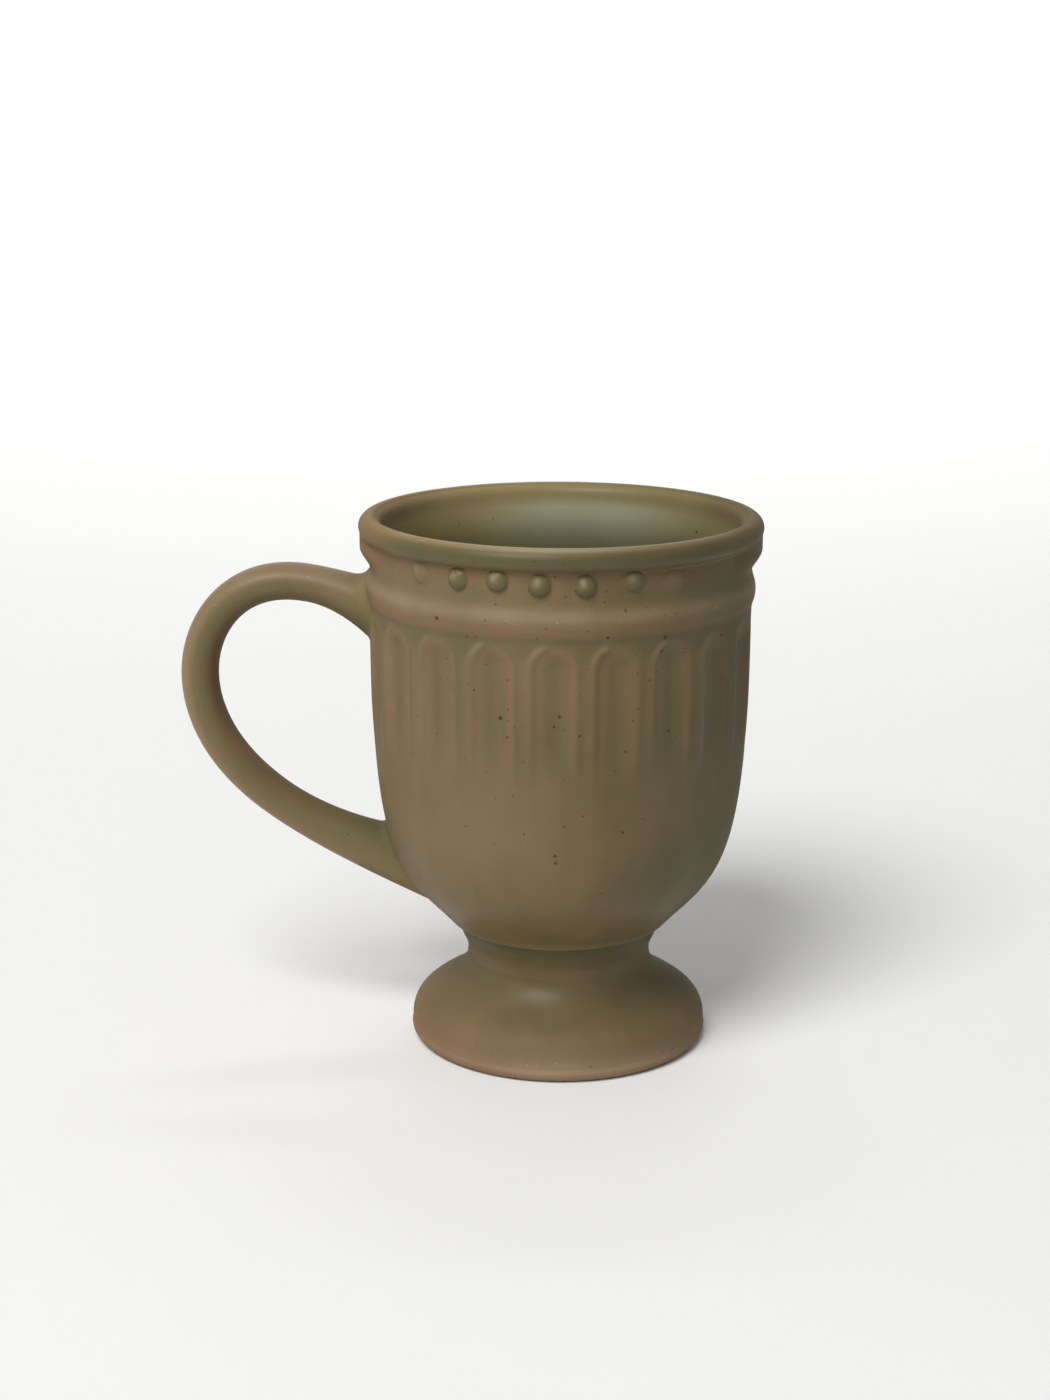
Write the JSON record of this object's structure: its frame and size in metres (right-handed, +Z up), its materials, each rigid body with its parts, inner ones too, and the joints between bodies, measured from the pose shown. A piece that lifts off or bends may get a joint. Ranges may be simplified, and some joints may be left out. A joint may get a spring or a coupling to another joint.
{
  "type": "footed mug",
  "caption": "Footed stoneware mug with a rolled lip, a beaded frieze, a fluted wall, an ear-shaped handle and a trumpet-shaped pedestal, in a mottled olive and brown glaze.",
  "frame": {"origin": "on the mug's axis, in the plane of the table", "axes": "+Z up along the mug's axis, -X towards the handle, -Y towards the front in the picture"},
  "size_m": [0.1309, 0.09, 0.122],
  "materials": {
    "bowl_glaze": "satin mottled olive and brown glaze",
    "bead_glaze": "satin olive glaze, pale on top of each bead",
    "foot_glaze": "satin tan glaze, greener in the waist",
    "handle_glaze": "satin brown and olive glaze"
  },
  "bodies": {
    "root": {"bowl": "bowl_glaze", "beads": "bead_glaze", "pedestal_foot": "foot_glaze", "handle": "handle_glaze"}
  },
  "joints": []
}
